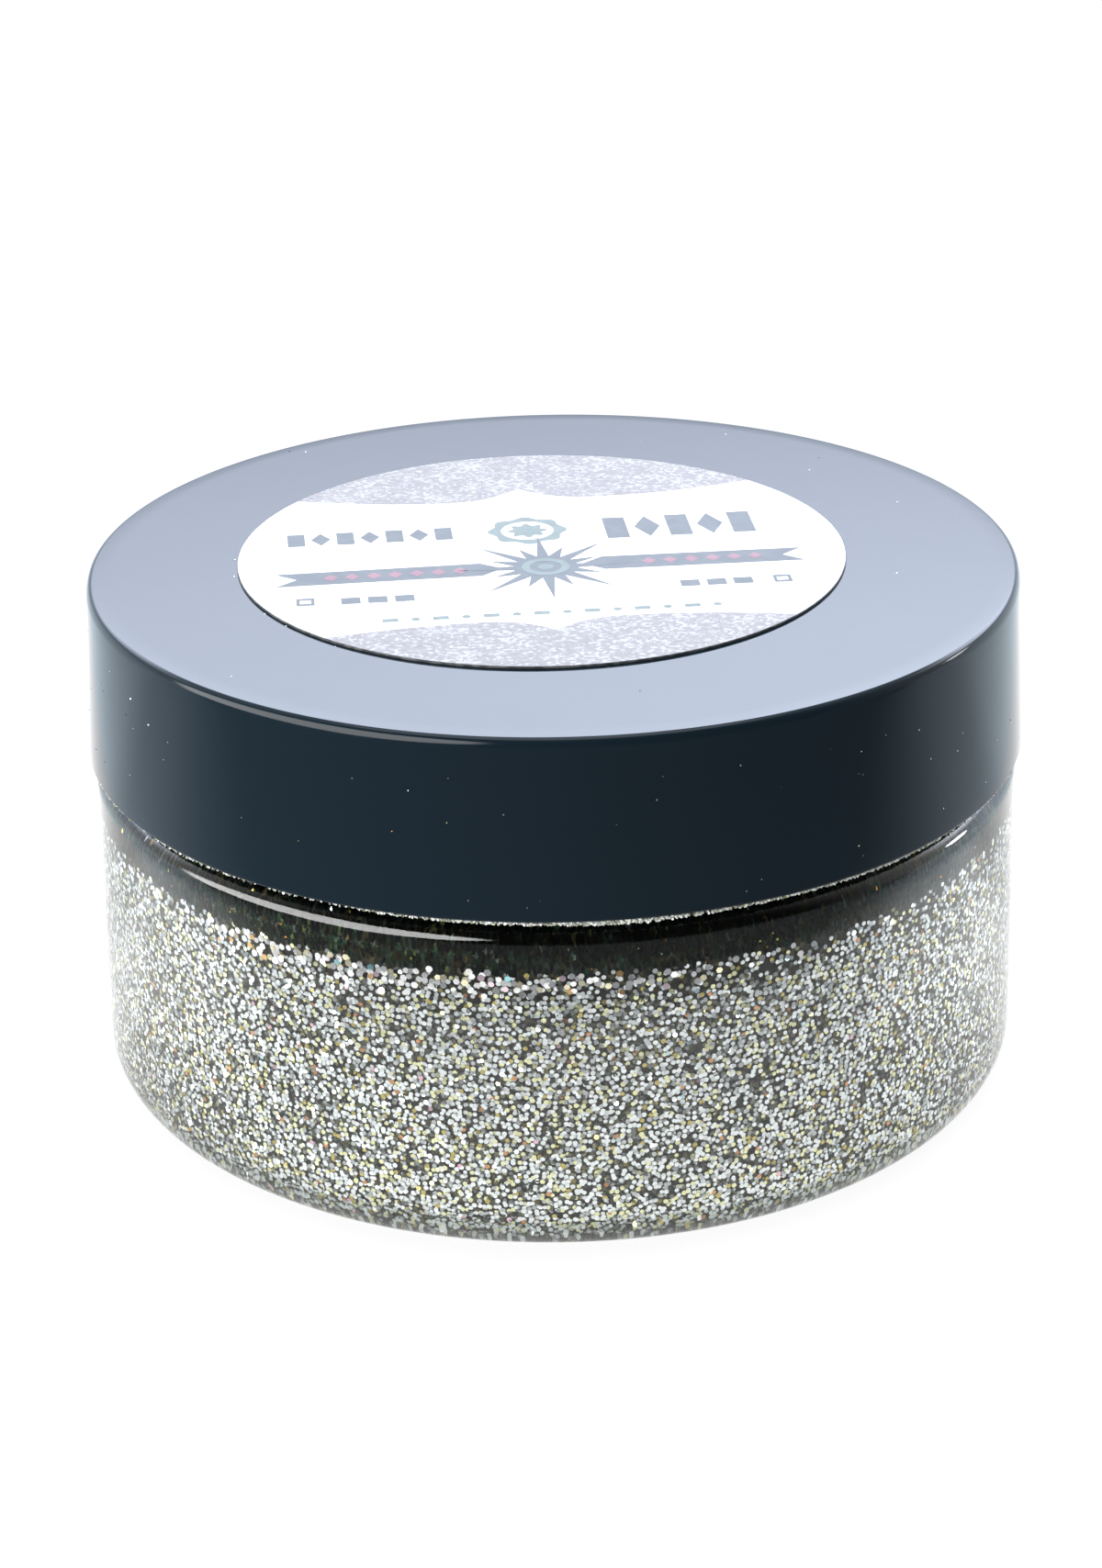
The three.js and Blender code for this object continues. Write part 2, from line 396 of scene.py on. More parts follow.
def make_floor():
    """White table whose glow is painted by place: brighter beside and behind the jar, dimmed under it as
    painted shade, falling dark well in front of it, and cooler far to the sides; plain white to the eye.
    """
    material = bpy.data.materials.new("studio_floor")
    material.use_nodes = True
    nodes = Nodes(material.node_tree)
    place = nodes.add("ShaderNodeTexCoord").outputs["Object"]
    x, y, _ = nodes.add("ShaderNodeSeparateXYZ", {0: place}).outputs
    aside = nodes.maths("ABSOLUTE", x)
    squares = nodes.maths("ADD", nodes.maths("POWER", x, 2.0), nodes.maths("POWER", y, 2.0))
    reach = nodes.maths("SQRT", squares)
    beside = nodes.maths("MULTIPLY", nodes.ease(aside, 0.034, 0.048), nodes.ease(aside, 0.074, 0.060))
    beside = nodes.maths("MULTIPLY", beside, nodes.ease(y, -0.036, -0.018))
    beside = nodes.maths("MULTIPLY", beside, nodes.ease(y, 0.016, 0.002))
    glowing = nodes.maths("MULTIPLY_ADD", beside, 0.74, 1.06)
    # painted shade: the glow is dimmed under the jar's footprint
    glowing = nodes.maths("MULTIPLY_ADD", nodes.ease(reach, 0.031, 0.028), -0.42, glowing)
    glowing = nodes.maths("MULTIPLY_ADD", nodes.ease(y, 0.016, 0.036), 0.35, glowing)
    front = nodes.maths("MULTIPLY", nodes.ease(y, 0.006, -0.046), nodes.ease(reach, 0.058, 0.0695))
    glowing = nodes.maths("MULTIPLY", glowing, nodes.maths("MULTIPLY_ADD", front, -0.90, 1.0))
    seen = nodes.add("ShaderNodeLightPath").outputs["Is Camera Ray"]
    strength = nodes.add("ShaderNodeMix", {0: seen, 2: glowing, 3: FLOOR_SEEN}, data_type="FLOAT").outputs[0]
    cool = nodes.maths("MULTIPLY", nodes.ease(aside, 0.058, 0.070), nodes.maths("SUBTRACT", 1.0, seen))
    colour = nodes.mix(cool, WHITE, rgb(0.86, 1.0, 1.10))
    paint = nodes.add("ShaderNodeBsdfDiffuse", {"Color": rgb(0.08, 0.08, 0.08)})
    glow = nodes.add("ShaderNodeEmission", {"Color": colour, "Strength": strength})
    both = nodes.add("ShaderNodeAddShader", {0: paint.outputs[0], 1: glow.outputs[0]})
    nodes.add("ShaderNodeOutputMaterial", {"Surface": both.outputs[0]})
    mesh = bpy.data.meshes.new("studio_floor")
    far = 2.5
    low = -0.00004
    corners = [(-far, -far, low), (far, -far, low), (far, far, low), (-far, far, low)]
    mesh.from_pydata(corners, [], [(0, 1, 2, 3)])
    mesh.materials.append(material)
    floor = bpy.data.objects.new("studio_floor", mesh)
    bpy.context.scene.collection.objects.link(floor)


# ---- materials ----

def clear_pet(name, ior, roughness=0.015, colour=rgb(0.985, 0.992, 0.985)):
    """Clear blow-moulded plastic with a faint ripple."""
    material, nodes, shader = principled(
        name,
        Base_Color=colour,
        Roughness=roughness,
        IOR=ior,
        Transmission_Weight=1.0,
    )
    coords = object_coords(nodes)
    ripple = nodes.noise(coords, 90.0, 1.0)
    nodes.tree.links.new(nodes.bump(ripple, 0.25, 0.00004), shader.inputs["Normal"])
    return material


def finish_set(finishes):
    """Plain finishes from (name, colour, roughness, metallic, share), and each one's share of the flakes."""
    made = []
    shares = []
    for name, colour, roughness, metallic, share in finishes:
        material, _, _ = principled(name, Base_Color=colour, Roughness=roughness, Metallic=metallic)
        made.append(material)
        shares.append(share)
    shares = np.array(shares)
    return made, shares / shares.sum()


def silver_finishes():
    """Finishes of the glitter itself: silver, white and pale gold, with a few coloured flakes, and a few dark
    flakes that paint flakes lying in shade.
    """
    return finish_set(
        (
            ("flake_silver", rgb(0.82, 0.87, 0.88), 0.26, 1.0, 0.34),
            ("flake_white", rgb(0.94, 0.97, 0.97), 0.30, 0.95, 0.28),
            ("flake_pale_gold", rgb(0.82, 0.82, 0.50), 0.26, 1.0, 0.17),
            ("flake_grey", rgb(0.46, 0.49, 0.49), 0.24, 1.0, 0.09),
            ("flake_gold", rgb(0.50, 0.42, 0.14), 0.24, 1.0, 0.04),
            # painted shade: flake_shadow is a dark flake that stands for a flake lying in shade
            ("flake_shadow", rgb(0.10, 0.11, 0.07), 0.3, 1.0, 0.05),
            ("flake_copper", rgb(0.60, 0.30, 0.14), 0.22, 1.0, 0.008),
            ("flake_pink", rgb(0.80, 0.50, 0.60), 0.20, 1.0, 0.003),
            ("flake_blue", rgb(0.50, 0.68, 0.75), 0.20, 1.0, 0.003),
        )
    )


def painted_shade_finishes():
    """Dark finishes of the flakes at the shoulder; their colours paint the shade of the lid."""
    return finish_set(
        (
            ("shade_black", rgb(0.004, 0.009, 0.005), 0.35, 1.0, 0.32),
            ("shade_green", rgb(0.009, 0.024, 0.013), 0.35, 1.0, 0.34),
            ("shade_olive", rgb(0.028, 0.036, 0.012), 0.35, 1.0, 0.20),
            ("shade_bark", rgb(0.040, 0.028, 0.007), 0.35, 1.0, 0.05),
            ("shade_smoke", rgb(0.036, 0.056, 0.046), 0.35, 1.0, 0.07),
        )
    )


def speck_finishes():
    """Finishes of the few small flakes that glint in that shade."""
    return finish_set(
        (
            ("speck_amber", rgb(0.62, 0.30, 0.05), 0.25, 1.0, 0.4),
            ("speck_gold", rgb(0.75, 0.66, 0.20), 0.25, 1.0, 0.4),
            ("speck_silver", rgb(0.85, 0.88, 0.88), 0.25, 1.0, 0.2),
        )
    )


def spark_finishes():
    """Finishes of the large flakes that catch the light under the shoulder."""
    return finish_set(
        (
            ("spark_white", rgb(1.0, 1.0, 1.0), 0.18, 1.0, 0.72),
            ("spark_cream", rgb(1.0, 0.93, 0.66), 0.18, 1.0, 0.12),
            ("spark_pink", rgb(1.0, 0.80, 0.88), 0.18, 1.0, 0.09),
            ("spark_orange", rgb(0.85, 0.52, 0.22), 0.18, 1.0, 0.05),
            ("spark_cyan", rgb(0.45, 0.82, 0.88), 0.18, 1.0, 0.02),
        )
    )


def residue_finishes():
    """Dried gel dust at the lid's lower edge."""
    return finish_set(
        (
            ("residue_white", rgb(0.88, 0.90, 0.86), 0.5, 0.0, 0.62),
            ("residue_grey", rgb(0.42, 0.45, 0.40), 0.5, 0.0, 0.26),
            ("residue_olive", rgb(0.30, 0.30, 0.12), 0.5, 0.0, 0.12),
        )
    )


def set_stops(ramp, stops):
    """Give a colour ramp these (place, colour) stops."""
    while len(ramp.color_ramp.elements) < len(stops):
        ramp.color_ramp.elements.new(0.5)
    for element, (place, colour) in zip(ramp.color_ramp.elements, stops):
        element.position = place
        element.color = colour


def gel_core_material():
    """Deep gel: dark olive painted as the shade deep in the gel, with dim cells that paint flakes half lost
    in that shade.
    """
    material, nodes, shader = principled("gel_deep", Roughness=0.35)
    coords = object_coords(nodes)
    cells = nodes.add("ShaderNodeTexVoronoi", {"Vector": coords, "Scale": 3000.0})
    chance = nodes.add("ShaderNodeSeparateXYZ", {0: cells.outputs["Color"]}).outputs[0]
    ramp = nodes.add("ShaderNodeValToRGB", {0: chance})
    stops = (
        (0.0, rgb(0.016, 0.018, 0.012)),
        (0.45, rgb(0.035, 0.037, 0.022)),
        (0.72, rgb(0.075, 0.070, 0.032)),
        (0.90, rgb(0.16, 0.14, 0.06)),
        (0.97, rgb(0.30, 0.31, 0.30)),
    )
    ramp.color_ramp.interpolation = "CONSTANT"
    set_stops(ramp, stops)
    nodes.tree.links.new(ramp.outputs["Color"], shader.inputs["Base Color"])
    return material


def lid_material():
    """Glossy black plastic with a faint haze, fine skin and level moulding bands."""
    material, nodes, shader = principled("lid_black", Base_Color=rgb(0.0075, 0.0155, 0.023), IOR=LID_IOR)
    coords = object_coords(nodes)
    height = nodes.add("ShaderNodeSeparateXYZ", {0: coords}).outputs[2]
    bands = nodes.noise(nodes.add("ShaderNodeCombineXYZ", {2: height}).outputs[0], 900.0, 1.0)
    haze = nodes.noise(coords, 260.0, 3.0)
    rough = nodes.maths("ADD", nodes.maths("MULTIPLY", haze, 0.05), nodes.maths("MULTIPLY", bands, 0.05))
    nodes.tree.links.new(nodes.maths("ADD", rough, 0.05), shader.inputs["Roughness"])
    skin = nodes.noise(coords, 700.0, 2.0)
    relief = nodes.maths("ADD", nodes.maths("MULTIPLY", bands, 0.5), nodes.maths("MULTIPLY", skin, 0.5))
    nodes.tree.links.new(nodes.bump(relief, 0.12, 0.00003), shader.inputs["Normal"])
    return material


# ---- jar ----

def inner_outline():
    """The jar's inside, from the centre of its floor to the gel level in the neck (radius, height)."""
    heel = HEEL - WALL
    shoulder = SHOULDER - WALL
    points = [
        (0, BASE_THICKNESS + PUSH_UP),
        (12, BASE_THICKNESS + PUSH_UP * 0.9),
        (20, BASE_THICKNESS + PUSH_UP * 0.5),
        (HEEL_CENTRE_R - 1.6, BASE_THICKNESS),
    ]
    for k in range(9):
        angle = math.radians(-90 + 90 * k / 8)
        height = BASE_THICKNESS + heel + heel * math.sin(angle)
        points.append((HEEL_CENTRE_R + heel * math.cos(angle), height))
    for k in range(9):
        angle = math.radians(90 * k / 8)
        height = SHOULDER_CENTRE_Z + shoulder * math.sin(angle)
        points.append((SHOULDER_CENTRE_R + shoulder * math.cos(angle), height))
    points += [(BORE_RADIUS, SHOULDER_Z + 0.4), (BORE_RADIUS, GEL_TOP)]
    return points


def jar_outline():
    """The jar's outside, from the gate mark under its floor, up and over the rim to the gel in the neck."""
    return rounded(
        [
            (0, PUSH_UP - GATE_DEPTH, 0),
            (GATE_RADIUS, PUSH_UP - GATE_DEPTH, 0.12),
            (1.5, PUSH_UP, 0.12),
            (12, PUSH_UP * 0.9, 30),
            (20, PUSH_UP * 0.5, 30),
            (HEEL_CENTRE_R - 1.6, 0, 3),
            (HEEL_BODY_RADIUS, 0, HEEL),
            (SHOULDER_BODY_RADIUS, SHOULDER_Z, SHOULDER),
            (NECK_RADIUS, SHOULDER_Z, 0.25),
            (NECK_RADIUS, RIM_Z, 0.35),
            (BORE_RADIUS, RIM_Z, 0.35),
            (BORE_RADIUS, GEL_TOP + 0.3, 0),
        ]
    )


def jar_thread(angle, r, z):
    """How far the neck's thread stands out at a point; none off the neck's wall."""
    if r < NECK_RADIUS - 0.02 or r > NECK_RADIUS + 0.02 or z < SHOULDER_Z:
        return 0.0
    height = JAR_THREAD_CREST - NECK_RADIUS
    return rib_height(
        angle, z, THREAD_START_Z, 0.0, THREAD_TURNS, base_width=2.4, crest_width=1.0, height=height
    )


def make_jar(pet, pet_on_gel, pet_base):
    """The clear jar; its inside meets the gel and its underside is frosted."""
    outside = subdivided(jar_outline(), 0.6)
    neck = [p for p in outside if abs(p[0] - NECK_RADIUS) < 0.02 and p[1] > SHOULDER_Z]
    first = outside.index(neck[0])
    last = outside.index(neck[-1])
    outside[first:last + 1] = subdivided([neck[0], neck[-1]], THREAD_STEP)
    inside = subdivided(inner_outline()[::-1], 0.8)
    profile = outside + inside
    verts, faces, rows = revolve(profile, ROUND, jar_thread)
    low = [(a[1] + b[1]) / 2 < FROST_HEIGHT for a, b in zip(profile, profile[1:])]
    finish = [1 if row >= len(outside) else 2 if low[row] else 0 for row in rows]
    materials = [pet, pet_on_gel, pet_base]
    piece = new_piece("clear_jar", verts, faces, "jar", materials, indices=finish)
    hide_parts("jar")


# ---- gel ----

def along(outline, step):
    """Even samples of a (radius, height) line: radius, height and unit normal to its right-hand side."""
    line = np.array(outline, float)
    seg = np.diff(line, axis=0)
    length = np.hypot(seg[:, 0], seg[:, 1])
    total = np.concatenate([[0], np.cumsum(length)])
    out = []
    for s in np.arange(step / 2, total[-1], step):
        k = min(len(seg) - 1, int(np.searchsorted(total, s) - 1))
        t = (s - total[k]) / length[k]
        r, z = line[k] + seg[k] * t
        normal = (seg[k][1] / length[k], -seg[k][0] / length[k])
        out.append((r, z, *normal))
    return out


def scatter(outline, spacing, rng, keep=1.0, depth=(0.03, 0.12)):
    """Points just under a turned surface, on a jittered grid, with the surface normals there.

    keep is the share of points that stay, and depth the least and most they lie under the surface.
    """
    places = []
    normals = []
    for r, z, nr, nz in along(outline, spacing * 0.9):
        count = max(1, int(round(2 * math.pi * r / spacing)))
        angle = (np.arange(count) + rng.random()) * 2 * math.pi / count
        angle = angle + rng.uniform(-0.36, 0.36, count) * spacing / max(r, spacing)
        angle = angle[rng.random(count) < keep]
        inset = rng.uniform(depth[0], depth[1], len(angle))
        slide = rng.uniform(-0.34, 0.34, len(angle)) * spacing
        radius = r - nr * inset - nz * slide
        height = z - nz * inset + nr * slide
        places.append(np.stack([radius * np.cos(angle), radius * np.sin(angle), height], 1))
        normals.append(np.stack([nr * np.cos(angle), nr * np.sin(angle), np.full(len(angle), nz)], 1))
    return np.concatenate(places), np.concatenate(normals)


HEX = np.stack([np.cos(np.arange(6) * math.pi / 3), np.sin(np.arange(6) * math.pi / 3)], 1)


def flakes(
    name,
    places,
    normals,
    rng,
    body,
    slot,
    materials,
    shares,
    radius=FLAKE_RADIUS,
    tilt=0.07,
    wild=0.14,
    stretch=1.0,
):
    """Hexagonal flakes, each a thin closed platelet with its flat side outward.

    tilt is how unevenly they lie, wild the share that lies far more unevenly, and stretch draws them
    up the wall.
    """
    count = len(places)
    spread = np.where(rng.random(count) < wild, 0.5, tilt)[:, None]
    facing = normals + rng.normal(0, 1, (count, 3)) * spread
    facing /= np.linalg.norm(facing, axis=1)[:, None]
    helper = np.where(np.abs(facing[:, 2:3]) < 0.9, [[0.0, 0.0, 1.0]], [[1.0, 0.0, 0.0]])
    side = np.cross(helper, facing)
    side /= np.linalg.norm(side, axis=1)[:, None]
    up = np.cross(facing, side)
    turn = rng.random(count) * (math.pi / 3 if stretch == 1.0 else 0.15)
    size = radius * rng.uniform(0.86, 1.08, count)
    a = side * np.cos(turn)[:, None] + up * np.sin(turn)[:, None]
    b = (up * np.cos(turn)[:, None] - side * np.sin(turn)[:, None]) * stretch
    rim = places[:, None, :] + size[:, None, None] * (
        HEX[None, :, 0:1] * a[:, None, :] + HEX[None, :, 1:2] * b[:, None, :]
    )
    apex = places - facing * FLAKE_BACK
    verts = np.concatenate([rim, apex[:, None, :]], 1).reshape(-1, 3) * MM
    faces = []
    for base in range(0, count * 7, 7):
        faces.append((base, base + 1, base + 2, base + 3, base + 4, base + 5))
        for k in range(6):
            faces.append((base + (k + 1) % 6, base + k, base + 6))
    finish = np.repeat(rng.choice(len(materials), count, p=shares), 7)
    return new_piece(name, verts, faces, body, materials, smooth=False, indices=finish)


def patchy(places, rng, waves=14):
    """Slow random unevenness around and up the wall, about -1 to 1."""
    angle = np.arctan2(places[:, 1], places[:, 0])
    total = np.zeros(len(places))
    for _ in range(waves):
        turns = rng.integers(2, 46)
        total += np.sin(angle * turns + places[:, 2] * rng.uniform(-1.6, 1.6) + rng.uniform(0, 2 * math.pi))
    return total / math.sqrt(waves / 2)


def thinned(places, rng, full_z=16.3, least=0.42):
    """Which flakes stay: all low down, fewer toward the shoulder, with some uneven patches."""
    rise = np.clip((places[:, 2] - full_z) / (SHADE_Z - full_z), 0, 1)
    chance = 1 - (1 - least) * rise * rise * (3 - 2 * rise)
    chance = chance - 0.05 + 0.09 * patchy(places, rng)
    return rng.random(len(places)) < chance


def make_gel():
    """The fill: flakes in two layers behind the wall, on the floor and on top, round a core painted dark as
    the shade deep in the gel.
    """
    rng = np.random.default_rng(58)
    silver = silver_finishes()
    shade = painted_shade_finishes()
    outline = inner_outline()
    heel_start = 3
    neck_start = len(outline) - 2
    floor_line = outline[: heel_start + 1]
    wall_line = outline[heel_start: neck_start + 1]
    neck_line = outline[neck_start:]
    places, normals = scatter(wall_line, 0.33, rng)
    stays = thinned(places, rng)
    for name, low, high in (
        ("glitter_heel", 0.0, GLITTER_LOW_CUT),
        ("glitter_wall", GLITTER_LOW_CUT, GLITTER_HIGH_CUT),
        ("glitter_upper", GLITTER_HIGH_CUT, SHADE_Z),
    ):
        part = stays & (places[:, 2] >= low) & (places[:, 2] < high)
        piece = flakes(name, places[part], normals[part], rng, "jar", "glitter_gel", *silver)
        if name == "glitter_wall":
            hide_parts("glitter_gel")
    # The flakes at the shoulder take dark finishes that paint the lid's shade.
    part = places[:, 2] >= SHADE_Z
    flakes(
        "glitter_shoulder",
        places[part],
        normals[part],
        rng,
        "jar",
        "glitter_gel",
        *shade,
        radius=SHADE_FLAKE_RADIUS,
        tilt=0.12,
        wild=0.1,
        stretch=SHADE_FLAKE_STRETCH,
    )
    part = part & (rng.random(len(places)) < SPECK_SHARE)
    speck_places = places[part] + normals[part] * 0.02
    flakes(
        "glitter_specks",
        speck_places,
        normals[part],
        rng,
        "jar",
        "glitter_gel",
        *speck_finishes(),
        radius=SPECK_RADIUS,
        tilt=0.3,
        wild=0.3,
    )
    places, normals = scatter(wall_line, 0.42, rng, depth=(0.2, 0.34))
    stays = thinned(places, rng, 15.5, 0.1) & (places[:, 2] < SHADE_Z)
    low_down = places[:, 2] < GLITTER_DEEP_CUT
    for name, level in (("glitter_deep_low", low_down), ("glitter_deep_high", ~low_down)):
        part = level & stays
        flakes(name, places[part], normals[part], rng, "jar", "glitter_gel", *silver, tilt=0.3)
    make_sparks(wall_line, rng)
    places, normals = scatter(floor_line, 0.5, rng, depth=(0.03, 0.2))
    flakes("glitter_floor", places, normals, rng, "jar", "glitter_gel", *silver)
    top_line = [
        (BORE_RADIUS - 0.1, GEL_TOP + 0.2),
        (BORE_RADIUS - 1.2, GEL_TOP - 0.05),
        (0.2, GEL_TOP - 0.4),
    ]
    top_places, top_normals = scatter(top_line, 0.42, rng, depth=(-0.02, 0.05))
    neck_places, neck_normals = scatter(neck_line, 0.4, rng)
    places = np.concatenate([top_places, neck_places])
    normals = np.concatenate([top_normals, neck_normals])
    flakes("glitter_top", places, normals, rng, "jar", "glitter_gel", *silver, tilt=0.3, wild=0.3)
    # painted shade: the core's dark colour stands for the shade deep in the gel
    core_side = [(r - nr * CORE_INSET, z - nz * CORE_INSET) for r, z, nr, nz in along(outline, 0.35)]
    core_top = [(BORE_RADIUS - 1.2, GEL_TOP - 0.15), (0, GEL_TOP - 0.5)]
    verts, faces, _ = revolve([(0, core_side[0][1])] + core_side + core_top, ROUND_CORE)
    new_piece("gel_core", verts, faces, "jar", [gel_core_material()])


def make_sparks(wall_line, rng):
    """Large bright flakes in a loose row under the shaded shoulder, thick at the front left."""
    places, normals = scatter(wall_line, 0.4, rng, depth=(0.0, 0.02))
    angle = np.arctan2(places[:, 0], -places[:, 1])
    left = np.exp(-(((angle + 0.45) / 0.6) ** 2))
    middle = SHADE_Z - 0.4 + 0.12 * np.sin(angle * 23) + 0.1 * np.sin(angle * 37 + 1)
    spread = np.where(places[:, 2] > middle, 0.26, 0.4 + 0.5 * left)
    row = np.exp(-(((places[:, 2] - middle) / spread) ** 2))
    part = rng.random(len(places)) < row * (0.1 + 0.9 * left)
    places, normals = places[part], normals[part]
    flakes(
        "glitter_sparks",
        places,
        normals,
        rng,
        "jar",
        "glitter_gel",
        *spark_finishes(),
        radius=SPARK_RADIUS,
        wild=0.0,
    )


# ---- lid ----

def lid_thread(angle, r, z):
    """How far the lid's thread stands in from its inner wall at a point, as a negative shift."""
    if abs(r - LID_INNER_RADIUS) > 0.02 or z > LID_UNDERSIDE - 0.4:
        return 0.0
    height = LID_INNER_RADIUS - LID_THREAD_CREST
    start = THREAD_START_Z - LID_THREAD_DROP
    return -rib_height(
        angle, z, start, LID_THREAD_FROM, LID_THREAD_TURNS, base_width=1.9, crest_width=0.8, height=height
    )


def make_lid(plastic):
    """The lid with its inner thread; its upper edge is a small rounding over a longer, gentler one."""
    edge_in = LID_EDGE_SLOPE * math.sin(LID_EDGE_LEAN)
    edge_down = LID_EDGE_SLOPE * math.cos(LID_EDGE_LEAN)
    outline = rounded(
        [
            (0, LID_UNDERSIDE, 0),
            (LID_INNER_RADIUS, LID_UNDERSIDE, 0.25),
            (LID_INNER_RADIUS, LID_BOTTOM, 0.3),
            (LID_BOTTOM_RADIUS, LID_BOTTOM, 0.14),
            (LID_TOP_RADIUS, TOTAL_HEIGHT - edge_down, LID_EDGE_SIDE),
            (LID_TOP_RADIUS - edge_in, TOTAL_HEIGHT, LID_EDGE),
            (0, TOTAL_HEIGHT, 0),
        ]
    )
    wall = [p for p in outline if abs(p[0] - LID_INNER_RADIUS) < 0.02]
    first = outline.index(wall[0])
    last = outline.index(wall[-1])
    outline[first:last + 1] = subdivided([wall[0], wall[-1]], THREAD_STEP)
    profile = subdivided(outline, 1.2)
    verts, faces, _ = revolve(profile, ROUND, lid_thread)
    piece = new_piece("screw_lid", verts, faces, "lid", [plastic])
    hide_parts("lid")


def make_residue():
    """Dry gel dust under the lid's lower edge, and stray flakes on its side, its top and round the label."""
    rng = np.random.default_rng(7)
    angle = rng.uniform(-math.pi, math.pi, 11000)
    front = np.exp(-(((angle - 0.12) / 0.16) ** 2))
    right = np.clip((angle + 0.5) / 0.3, 0, 1) * np.clip((0.95 - angle) / 0.2, 0, 1)
    patches = 0.5 + 0.5 * np.sin(angle * 9 + 1.3) * np.sin(angle * 23)
    chance = np.maximum(0.03 + 0.14 * patches, np.maximum(front, 0.62 * right))
    stays = rng.random(len(angle)) < chance
    angle = angle[stays]
    count = len(angle)
    drop = rng.uniform(0.0, 0.13, count)
    drop = drop + 0.17 * rng.random(count) * np.exp(-(((angle - 0.12) / 0.2) ** 2))
    radius = LID_BOTTOM_RADIUS - rng.uniform(0.08, 0.2, count)
    outward = np.stack([np.sin(angle), -np.cos(angle), np.zeros(count)], 1)
    places = outward * radius[:, None]
    places[:, 2] = LID_BOTTOM + 0.02 - drop
    flakes(
        "rim_residue",
        places,
        outward,
        rng,
        "lid",
        "black_lid",
        *residue_finishes(),
        radius=DUST_RADIUS,
        tilt=0.8,
        wild=0,
    )
    silver = silver_finishes()
    count = STRAYS_ON_SIDE
    angle = rng.uniform(-math.pi, math.pi, count)
    height = rng.uniform(LID_BOTTOM + 0.4, TOTAL_HEIGHT - 1.2, count)
    share = (height - LID_BOTTOM) / (TOTAL_HEIGHT - LID_BOTTOM)
    radius = LID_BOTTOM_RADIUS + (LID_TOP_RADIUS - LID_BOTTOM_RADIUS) * share + 0.012
    outward = np.stack([np.sin(angle), -np.cos(angle), np.zeros(count)], 1)
    places = outward * radius[:, None]
    places[:, 2] = height
    flakes(
        "stray_side",
        places,
        outward,
        rng,
        "lid",
        "black_lid",
        *silver,
        radius=STRAY_RADIUS,
        tilt=0.1,
        wild=0.4,
    )
    count = STRAYS_ON_TOP
    angle = rng.uniform(-math.pi, math.pi, count)
    by_label = rng.random(count) < 0.4
    close = LABEL_RADIUS + rng.uniform(0.1, 0.3, count)
    radius = np.where(by_label, close, rng.uniform(21.5, 28.5, count))
    level = np.full(count, TOTAL_HEIGHT + 0.012)
    places = np.stack([radius * np.sin(angle), -radius * np.cos(angle), level], 1)
    places[:, :2] += LABEL_OFFSET
    upward = np.tile([0.0, 0.0, 1.0], (count, 1))
    flakes(
        "stray_top",
        places,
        upward,
        rng,
        "lid",
        "black_lid",
        *silver,
        radius=STRAY_TOP_RADIUS,
        tilt=0.1,
        wild=0.6,
    )


def make_liner():
    """The foam disc, pressed in a little where the jar's rim bears on it."""
    material, nodes, shader = principled("liner_foam", Base_Color=rgb(0.86, 0.86, 0.83), Roughness=0.75)
    cells = nodes.add("ShaderNodeTexVoronoi", {"Vector": object_coords(nodes), "Scale": 2600.0})
    nodes.tree.links.new(nodes.bump(cells.outputs["Distance"], 0.5, 0.00008), shader.inputs["Normal"])
    low = RIM_Z + 0.05
    top = LID_UNDERSIDE - 0.05
    outline = rounded(
        [
            (0, low, 0),
            (BORE_RADIUS - 0.3, low, 0.3),
            (BORE_RADIUS, low + 0.12, 0.2),
            (NECK_RADIUS, low + 0.12, 0.2),
            (NECK_RADIUS + 0.3, low, 0.3),
            (LINER_RADIUS, low, 0.15),
            (LINER_RADIUS, top, 0.1),
            (0, top, 0),
        ]
    )
    verts, faces, _ = revolve(subdivided(outline, 1.5), ROUND_THIN)
    piece = new_piece("foam_liner", verts, faces, "liner", [material])
    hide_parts("lid_liner")


# ---- label ----

def paper(name, colour, other, scale):
    """Glossy printed paper: a colour with fine uneven grain toward another one."""
    material, nodes, shader = principled(name, Roughness=0.3, IOR=PAPER_IOR)
    coords = object_coords(nodes)
    grain = nodes.ease(nodes.noise(coords, scale, 3.0), 0.35, 0.65)
    nodes.tree.links.new(nodes.mix(grain, rgb(*colour), rgb(*other)), shader.inputs["Base Color"])
    nodes.tree.links.new(nodes.bump(grain, 0.15, 0.00001), shader.inputs["Normal"])
    return material


def glitter_paper():
    """Silver grains of printed glitter, each its own tone."""
    material, nodes, shader = principled("label_glitter", Roughness=0.3, IOR=PAPER_IOR)
    coords = object_coords(nodes)
    cells = nodes.add("ShaderNodeTexVoronoi", {"Vector": coords, "Scale": 4600.0})
    chance = nodes.add("ShaderNodeSeparateXYZ", {0: cells.outputs["Color"]}).outputs[0]
    cloud = nodes.noise(coords, 420.0, 2.0)
    tone = nodes.maths("MULTIPLY_ADD", cloud, 0.7, nodes.maths("MULTIPLY", chance, 0.75))
    ramp = nodes.add("ShaderNodeValToRGB", {0: tone})
    stops = (
        (0.20, rgb(0.17, 0.155, 0.155)),
        (0.50, rgb(0.20, 0.185, 0.185)),
        (0.80, rgb(0.23, 0.215, 0.215)),
        (1.00, rgb(0.36, 0.35, 0.35)),
    )
    set_stops(ramp, stops)
    nodes.tree.links.new(ramp.outputs["Color"], shader.inputs["Base Color"])
    nodes.tree.links.new(nodes.bump(cells.outputs["Distance"], 0.3, 0.00002), shader.inputs["Normal"])
    return material


def on_label(a, b):
    """A point of the label's own square, where the rim is one unit away, in millimetres of the jar."""
    cos = math.cos(LABEL_TURN)
    sin = math.sin(LABEL_TURN)
    x = (a * cos - b * sin) * LABEL_RADIUS + LABEL_OFFSET[0]
    y = (a * sin + b * cos) * LABEL_RADIUS + LABEL_OFFSET[1]
    return x, y


